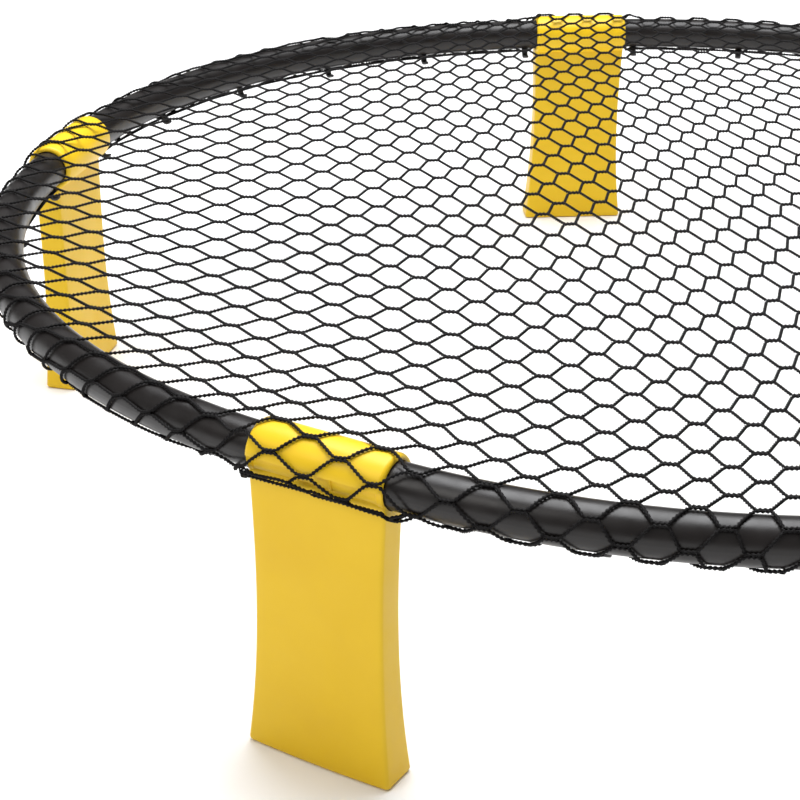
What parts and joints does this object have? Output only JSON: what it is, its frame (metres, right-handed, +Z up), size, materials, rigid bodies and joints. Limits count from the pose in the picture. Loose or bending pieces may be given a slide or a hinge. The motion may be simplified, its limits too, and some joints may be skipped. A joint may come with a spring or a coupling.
{
  "type": "round bounce net",
  "caption": "Round net stretched over a tube ring on short folding legs, for bouncing a ball off the net.",
  "frame": {"origin": "on the ground, under the middle of the ring", "axes": "+Z up; -Y towards leg_1, whose leg stands at the ring's front; the other legs follow every 72 degrees, anticlockwise seen from above"},
  "size_m": [0.912, 0.9114, 0.1828],
  "materials": {
    "tube": "satin black plastic tube with a soft grey highlight",
    "joiner": "matt dark plastic, hidden inside the sleeves",
    "leg": "satin yellow blow-moulded plastic",
    "hook": "matt black plastic",
    "net": "black two-strand twisted twine, knotless",
    "edge_cord": "black twisted twine"
  },
  "bodies": {
    "rim": {"rim_tube_1": "tube", "rim_tube_2": "tube", "rim_tube_3": "tube", "rim_tube_4": "tube", "rim_tube_5": "tube", "rim_joiner_1": "joiner", "rim_joiner_2": "joiner", "rim_joiner_3": "joiner", "rim_joiner_4": "joiner", "rim_joiner_5": "joiner", "net_hooks_1": "hook", "net_hooks_2": "hook", "net_hooks_3": "hook", "net_hooks_4": "hook", "net_hooks_5": "hook", "net": "net", "net_border": "net", "net_edge_cord": "edge_cord"},
    "leg_1": {"leg_1": "leg"},
    "leg_2": {"leg_2": "leg"},
    "leg_3": {"leg_3": "leg"},
    "leg_4": {"leg_4": "leg"},
    "leg_5": {"leg_5": "leg"}
  },
  "joints": [
    {"name": "leg_1_fold", "type": "hinge", "parent": "rim", "child": "leg_1", "pos_m": [0, -0.43623, 0.166], "axis": [1, 0, 0], "range_deg": [0, 85]},
    {"name": "leg_2_fold", "type": "hinge", "parent": "rim", "child": "leg_2", "pos_m": [0.41488, -0.1348, 0.166], "axis": [0.309, 0.9511, 0], "range_deg": [0, 85]},
    {"name": "leg_3_fold", "type": "hinge", "parent": "rim", "child": "leg_3", "pos_m": [0.25641, 0.35292, 0.166], "axis": [-0.809, 0.5878, 0], "range_deg": [0, 85]},
    {"name": "leg_4_fold", "type": "hinge", "parent": "rim", "child": "leg_4", "pos_m": [-0.25641, 0.35292, 0.166], "axis": [-0.809, -0.5878, 0], "range_deg": [0, 85]},
    {"name": "leg_5_fold", "type": "hinge", "parent": "rim", "child": "leg_5", "pos_m": [-0.41488, -0.1348, 0.166], "axis": [0.309, -0.9511, 0], "range_deg": [0, 85]}
  ]
}
